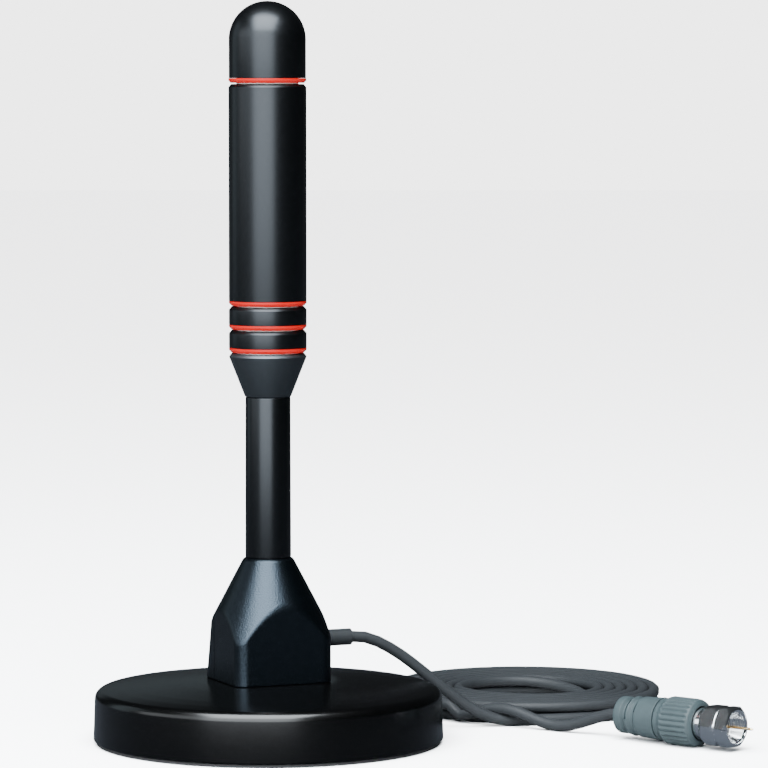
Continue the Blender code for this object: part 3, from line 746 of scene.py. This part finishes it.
def wedge(low, high, inner, outer, start, end, count=16):
    """A piece of a ring between two angles."""
    points = []
    for angle in levels(start, end, count):
        for radius, height in ((inner, low), (outer, low), (outer, high), (inner, high)):
            points.append((radius * math.cos(angle), radius * math.sin(angle), height))
    faces = [(0, 1, 2, 3), tuple(range(4 * count, 4 * count + 4))]
    for step in range(count):
        for side in range(4):
            here, after = 4 * step + side, 4 * step + (side + 1) % 4
            faces.append((here, after, after + 4, here + 4))
    return mesh_of("slot", points, faces)


def profile_radius(points, height):
    """Radius of a (radius, height) profile, rising in height, at one height."""
    for (low_radius, low), (high_radius, high) in zip(points, points[1:]):
        if height <= high:
            return low_radius + (high_radius - low_radius) * (height - low) / (high - low)
    return points[-1][0]


def make_grip():
    profile = [(0.0059, GRIP_REAR), (0.0061, GRIP_REAR + 0.0002), (0.0061, 0.0172), (0.0066, 0.0179)]
    profile += [(GRIP_RADIUS, 0.0186), (GRIP_RADIUS, 0.0270), (0.0065, 0.0280), (0.0058, 0.02845)]
    profile += [(0.0055, GRIP_FRONT)]

    def radius_at(angle, height):
        smooth = profile_radius(profile, height)
        fade = smoothstep((height - 0.0180) / 0.0008) * smoothstep((0.0277 - height) / 0.0008)
        wave = 0.5 - 0.5 * math.cos(angle * RIB_COUNT)
        return smooth - RIB_DEPTH * fade * (1.0 - wave**0.6)

    heights = [GRIP_REAR, GRIP_REAR + 0.0001, GRIP_REAR + 0.0002, 0.0165, *levels(0.0172, 0.0188, 10)]
    heights += levels(0.0195, 0.0262, 6) + levels(0.0267, 0.0284, 12) + [0.02845, 0.02853, GRIP_FRONT]
    mesh = swept("ribbed_grip", heights, radius_at, RIB_COUNT * 14)
    counterbore = COLLAR_RADIUS + GAP
    shoulder = COLLAR_REAR - GAP
    front, rear = GRIP_FRONT + 0.001, GRIP_REAR - 0.001
    bore = [(0.0, front), (counterbore, front), (counterbore, shoulder)]
    bore += [(PLUG_CAVITY, shoulder), (PLUG_CAVITY, rear), (0.0, rear)]
    mesh = combined(mesh, "DIFFERENCE", turned("bore", bore, steps=64))
    mesh.transform(PLUG_FRAME)
    return piece("ribbed_grip", shaded(mesh, 45.0), "grey_plug", "coupling", replaced=("nut_grip",))


def thread_bore():
    """The nut's inside: a right-handed thread, and the plain bore that turns on the ferrule."""
    def radius_at(angle, height):
        turn = ((height - THREAD_REAR) / THREAD_PITCH - angle / math.tau) % 1.0
        cut = abs(2.0 * turn - 1.0)
        mouth = max(0.0, height - (HEX_FRONT - 0.0005))
        return THREAD_BORE - THREAD_DEPTH * cut * smoothstep((height - THREAD_REAR - 0.0016) / 0.0006) + mouth

    heights = levels(THREAD_REAR, HEX_FRONT + 0.0005, 96)
    bore = swept("thread", heights, radius_at, 72)
    neck = bar("neck", FERRULE_RADIUS + GAP, COLLAR_REAR - 0.001, THREAD_REAR + 0.0003)
    return combined(bore, "UNION", neck)


def make_nut():
    corner = HEX_FLAT / math.cos(math.pi / 6)
    prism = bpy.data.meshes.new("hex_nut")
    shape = bmesh.new()
    bmesh.ops.create_cone(
        shape, cap_ends=True, segments=6, radius1=corner, radius2=corner, depth=HEX_FRONT - HEX_REAR + 0.0004
    )
    bmesh.ops.translate(shape, vec=(0.0, 0.0, (HEX_REAR + HEX_FRONT) / 2), verts=shape.verts)
    shape.to_mesh(prism)
    shape.free()
    waist = HEX_FLAT - 0.0002
    outline = [(0.0, HEX_FRONT), (0.0050, HEX_FRONT, 0.0001), (0.0054, HEX_FRONT - 0.0002)]
    outline += [(corner, HEX_FRONT - 0.0011), (corner, HEX_WAIST + 0.0009)]
    outline += [(waist, HEX_WAIST + 0.0001, 0.0002), (waist, HEX_WAIST - 0.0001, 0.0002)]
    outline += [(corner - 0.0001, HEX_WAIST - 0.0009)]
    outline += [(corner - 0.0003, HEX_REAR + 0.0012), (HEX_FLAT - 0.0003, HEX_REAR, 0.0002), (0.0, HEX_REAR)]
    nut = combined(prism, "INTERSECT", turned("nut_outline", outline, steps=144))
    inside = HEX_REAR + 0.001
    collar = [(0.0, COLLAR_REAR), (COLLAR_RADIUS, COLLAR_REAR, 0.0002)]
    collar += [(COLLAR_RADIUS, inside), (0.0, inside)]
    nut = combined(nut, "UNION", turned("collar", collar, steps=144))
    nut = combined(nut, "DIFFERENCE", thread_bore())
    nut.transform(PLUG_FRAME)
    return piece("hex_nut", shaded(nut, 18.0), "chrome", "coupling", replaced=("coupling_nut",))


def make_core():
    """The ferrule that the nut turns on, the insulator in it, and the centre pin."""
    flange = THREAD_REAR + GAP
    front = flange + 0.0011
    outer = THREAD_BORE - GAP - 0.0003
    outline = [(FERRULE_BORE, front, 0.0001), (outer, front, 0.0002), (outer, flange)]
    outline += [(FERRULE_RADIUS, flange), (FERRULE_RADIUS, 0.0083), (FERRULE_BORE, 0.0083)]
    mesh = turned("ferrule", outline, PLUG_FRAME, 72)
    ferrule = piece("ferrule", mesh, "chrome", replaced=("plug_ferrule",))
    bore = PIN_RADIUS + GAP / 2
    rim = FERRULE_BORE - GAP
    outline = [(bore, 0.0342), (0.0009, 0.0342), (0.0011, 0.0339), (0.0015, 0.0339), (rim, 0.0342, 0.0001)]
    outline += [(rim, 0.0200), (bore, 0.0200)]
    mesh = turned("insulator", outline, PLUG_FRAME, 72)
    insulator = piece("insulator", mesh, "white_plastic", replaced=("plug_insulator",))
    outline = [(0.0, PIN_TIP), (PIN_RADIUS * 0.5, PIN_TIP, 0.0001), (PIN_RADIUS, PIN_TIP - 0.0006, 0.0002)]
    outline += [(PIN_RADIUS, 0.0120), (0.0, 0.0120)]
    mesh = turned("plug_pin", outline, PLUG_FRAME, 32)
    pin = piece("plug_pin", mesh, "gilt", replaced=("centre_pin",))
    return [ferrule, insulator, pin]


# ---------------------------------------------------------------- camera, floor and light

def make_camera():
    data = bpy.data.cameras.new("camera")
    data.sensor_width = CAMERA_SENSOR
    data.lens = CAMERA_LENS
    camera = bpy.data.objects.new("camera", data)
    camera.location = CAMERA_PLACE
    camera.rotation_euler = (CAMERA_PITCH, 0.0, 0.0)
    bpy.context.scene.collection.objects.link(camera)
    bpy.context.scene.camera = camera


def make_floor():
    """A pale matt floor, dimmer in the object's reflections, where glossy rays see a painted dark colour
    instead of the pale one.
    """
    data = bpy.data.meshes.new("floor")
    data.from_pydata([(-6, -6, 0), (6, -6, 0), (6, 6, 0), (-6, 6, 0)], [], [(0, 1, 2, 3)])
    floor = bpy.data.objects.new("floor", data)
    bpy.context.scene.collection.objects.link(floor)
    material = bpy.data.materials.new("floor_white")
    material.use_nodes = True
    nodes, links = material.node_tree.nodes, material.node_tree.links
    nodes.remove(nodes["Principled BSDF"])
    pale = nodes.new("ShaderNodeBsdfDiffuse")
    pale.inputs["Color"].default_value = (0.92, 0.92, 0.93, 1.0)
    # painted shade: a dark colour shown to glossy rays only, so the floor looks dark in the object's
    # reflections
    painted_reflection_shade = nodes.new("ShaderNodeBsdfDiffuse")
    painted_reflection_shade.inputs["Color"].default_value = (0.018, 0.020, 0.024, 1.0)
    path = nodes.new("ShaderNodeLightPath")
    mix = nodes.new("ShaderNodeMixShader")
    links.new(path.outputs["Is Glossy Ray"], mix.inputs["Fac"])
    links.new(pale.outputs["BSDF"], mix.inputs[1])
    links.new(painted_reflection_shade.outputs["BSDF"], mix.inputs[2])
    links.new(mix.outputs["Shader"], nodes["Material Output"].inputs["Surface"])
    data.materials.append(material)


def softbox(name, azimuth, elevation, distance, size, radiance, tint=(0.90, 0.96, 1.0)):
    """An area light that faces the mast; azimuth is counted from the camera's side, positive to the right."""
    data = bpy.data.lights.new(name, "AREA")
    data.shape = "RECTANGLE"
    data.size, data.size_y = size
    data.energy = radiance * math.pi * size[0] * size[1]
    data.color = tint
    lamp = bpy.data.objects.new(name, data)
    turn, rise = math.radians(azimuth), math.radians(elevation)
    away = Vector((math.sin(turn) * math.cos(rise), -math.cos(turn) * math.cos(rise), math.sin(rise)))
    lamp.location = Vector((0.0, 0.0, 0.05)) + away * distance
    lamp.rotation_euler = away.to_track_quat("Z", "Y").to_euler()
    lamp.visible_camera = False
    bpy.context.scene.collection.objects.link(lamp)


def overhead():
    """Broad light from above for the floor and the matt surfaces, which leaves no highlight of its own."""
    data = bpy.data.lights.new("overhead", "SUN")
    data.energy = 13.0
    data.angle = math.radians(80.0)
    lamp = bpy.data.objects.new("overhead", data)
    lamp.rotation_euler = (math.radians(15.0), math.radians(-8.0), 0.0)
    lamp.visible_glossy = False
    bpy.context.scene.collection.objects.link(lamp)


def make_light():
    world = bpy.data.worlds.new("studio")
    bpy.context.scene.world = world
    world.use_nodes = True
    nodes, links = world.node_tree.nodes, world.node_tree.links
    ambient = nodes["Background"]
    ambient.inputs["Color"].default_value = (0.80, 0.90, 1.0, 1.0)
    ambient.inputs["Strength"].default_value = 0.03
    backdrop = nodes.new("ShaderNodeBackground")
    backdrop.inputs["Color"].default_value = (1.0, 1.0, 1.0, 1.0)
    backdrop.inputs["Strength"].default_value = 4.0
    path = nodes.new("ShaderNodeLightPath")
    mix = nodes.new("ShaderNodeMixShader")
    links.new(path.outputs["Is Camera Ray"], mix.inputs["Fac"])
    links.new(ambient.outputs["Background"], mix.inputs[1])
    links.new(backdrop.outputs["Background"], mix.inputs[2])
    links.new(mix.outputs["Shader"], nodes["World Output"].inputs["Surface"])
    softbox("key_low", -10.0, 14.0, 0.62, (0.73, 0.40), 9.0)
    softbox("key_high", -10.0, 58.0, 1.1, (1.1, 0.95), 30.0)
    softbox("wide", -38.0, 20.0, 1.5, (4.0, 0.9), 3.5)
    softbox("left_rim", -112.0, 15.0, 1.2, (0.5, 0.9), 1.0, (0.75, 0.92, 1.0))
    softbox("back_left", -165.0, 8.0, 0.62, (0.36, 0.14), 0.16, (0.75, 0.92, 1.0))
    overhead()


make_camera()
make_floor()
make_light()
lead = make_lead()
make_base()
make_pedestal()
make_mast()
make_cap()
plug_pieces = [make_boot(), make_grip(), make_nut(), *make_core()]
